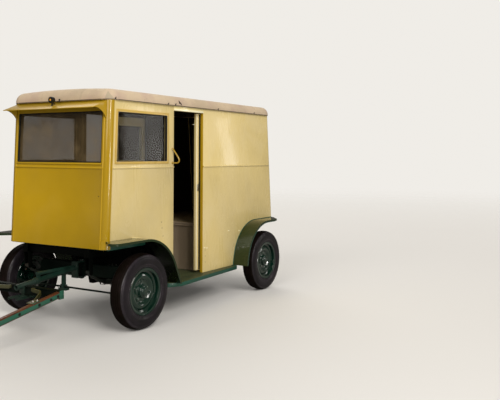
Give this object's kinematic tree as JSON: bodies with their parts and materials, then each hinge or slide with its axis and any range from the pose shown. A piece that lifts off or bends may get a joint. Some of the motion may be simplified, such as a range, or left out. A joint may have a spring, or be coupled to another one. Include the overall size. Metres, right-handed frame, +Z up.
{
  "type": "milk wagon",
  "caption": "Horse-drawn delivery wagon with a closed body, step-through doorway, fenders, pneumatic tyres and shafts resting on the ground.",
  "frame": {"origin": "on the ground under the middle of the wagon's overall length and width, shafts included", "axes": "+X forward towards the shafts, +Y to the wagon's left, +Z up"},
  "size_m": [5.6706, 1.68, 2.265],
  "materials": {
    "body_paint": "pale straw yellow enamel, soft gloss",
    "front_paint": "straw yellow enamel, soft gloss",
    "glass": "clear plate glass",
    "roof_canvas": "painted canvas over boards",
    "lamp_black": "black enamel",
    "floor_green": "worn dark green paint",
    "deck_board": "worn painted boards",
    "fender_paint": "glossy deep green enamel",
    "chassis_paint": "dark green paint with road dirt",
    "spring_steel": "black spring steel",
    "tyre": "black rubber",
    "wheel_paint": "glossy deep green enamel on pressed steel",
    "shaft_wood": "oiled red-brown ash"
  },
  "bodies": {
    "body": {"front_wall": "front_paint", "side_front_left": "body_paint", "side_front_right": "body_paint", "side_rear_left": "body_paint", "side_rear_right": "body_paint", "rear_frame": "body_paint", "door_headers": "body_paint", "windscreen_glass": "glass", "side_glass": "glass", "roof": "roof_canvas", "visor": "body_paint", "marker_lamp": "lamp_black", "front_floor": "floor_green", "well_floor": "floor_green", "rear_deck": "deck_board", "fenders_front": "fender_paint", "fenders_rear": "fender_paint", "steps": "fender_paint", "grab_handles": "body_paint", "chassis_rails": "chassis_paint", "chassis_crossmembers": "chassis_paint", "leaf_springs": "spring_steel", "axle_front": "chassis_paint", "axle_rear": "chassis_paint"},
    "door_left": {"door_left": "body_paint", "door_glass_left": "glass"},
    "rear_door_left": {"rear_door_left": "body_paint"},
    "knuckle_left": {"knuckle_left": "chassis_paint"},
    "tie_rod_left": {"tie_rod_left": "chassis_paint"},
    "wheel_front_left": {"tyre_front_left": "tyre", "wheel_front_left": "wheel_paint"},
    "wheel_rear_left": {"tyre_rear_left": "tyre", "wheel_rear_left": "wheel_paint"},
    "door_right": {"door_right": "body_paint", "door_glass_right": "glass"},
    "rear_door_right": {"rear_door_right": "body_paint"},
    "knuckle_right": {"knuckle_right": "chassis_paint"},
    "tie_rod_right": {"tie_rod_right": "chassis_paint"},
    "wheel_front_right": {"tyre_front_right": "tyre", "wheel_front_right": "wheel_paint"},
    "wheel_rear_right": {"tyre_rear_right": "tyre", "wheel_rear_right": "wheel_paint"},
    "drawbar": {"drawbar": "chassis_paint"},
    "shafts": {"shaft_gear": "chassis_paint", "shaft_poles": "shaft_wood"}
  },
  "joints": [
    {"name": "drawbar_swing", "type": "hinge", "parent": "body", "child": "drawbar", "pos_m": [-0.05969, 0, 0.52], "axis": [0, 0, 1], "range_deg": [-25, 25]},
    {"name": "shafts_lift", "type": "hinge", "parent": "drawbar", "child": "shafts", "pos_m": [0.66031, 0, 0.412], "axis": [0, -1, 0], "range_deg": [0, 95]},
    {"name": "knuckle_left_turn", "type": "hinge", "parent": "body", "child": "knuckle_left", "pos_m": [-0.05969, 0.6, 0.356], "axis": [0, 0, 1], "range_deg": [-25, 25]},
    {"name": "tie_rod_left_pivot", "type": "hinge", "parent": "drawbar", "child": "tie_rod_left", "pos_m": [0.18031, 0.03, 0.36], "axis": [0, 0, 1], "range_deg": [-25, 25]},
    {"name": "wheel_front_left_spin", "type": "hinge", "parent": "knuckle_left", "child": "wheel_front_left", "pos_m": [-0.05969, 0.748, 0.356], "axis": [0, 1, 0], "continuous": true},
    {"name": "wheel_rear_left_spin", "type": "hinge", "parent": "body", "child": "wheel_rear_left", "pos_m": [-2.36469, 0.748, 0.356], "axis": [0, 1, 0], "continuous": true},
    {"name": "door_left_slide", "type": "slide", "parent": "body", "child": "door_left", "axis": [1, 0, 0], "range_m": [0, 0.455]},
    {"name": "rear_door_left_swing", "type": "hinge", "parent": "body", "child": "rear_door_left", "pos_m": [-2.77984, 0.547, 1.48], "axis": [-0.0918, 0, -0.9958], "range_deg": [0, 105]},
    {"name": "knuckle_right_turn", "type": "hinge", "parent": "body", "child": "knuckle_right", "pos_m": [-0.05969, -0.6, 0.356], "axis": [0, 0, 1], "range_deg": [-25, 25]},
    {"name": "tie_rod_right_pivot", "type": "hinge", "parent": "drawbar", "child": "tie_rod_right", "pos_m": [0.18031, -0.03, 0.36], "axis": [0, 0, 1], "range_deg": [-25, 25]},
    {"name": "wheel_front_right_spin", "type": "hinge", "parent": "knuckle_right", "child": "wheel_front_right", "pos_m": [-0.05969, -0.748, 0.356], "axis": [0, 1, 0], "continuous": true},
    {"name": "wheel_rear_right_spin", "type": "hinge", "parent": "body", "child": "wheel_rear_right", "pos_m": [-2.36469, -0.748, 0.356], "axis": [0, 1, 0], "continuous": true},
    {"name": "door_right_slide", "type": "slide", "parent": "body", "child": "door_right", "axis": [1, 0, 0], "range_m": [0, 0.455]},
    {"name": "rear_door_right_swing", "type": "hinge", "parent": "body", "child": "rear_door_right", "pos_m": [-2.77984, -0.547, 1.48], "axis": [0.0918, 0, 0.9958], "range_deg": [0, 105]}
  ],
  "couplings": [
    {"joint": "knuckle_left_turn", "follows": "drawbar_swing", "ratio": 1},
    {"joint": "tie_rod_left_pivot", "follows": "drawbar_swing", "ratio": -1},
    {"joint": "knuckle_right_turn", "follows": "drawbar_swing", "ratio": 1},
    {"joint": "tie_rod_right_pivot", "follows": "drawbar_swing", "ratio": -1}
  ]
}
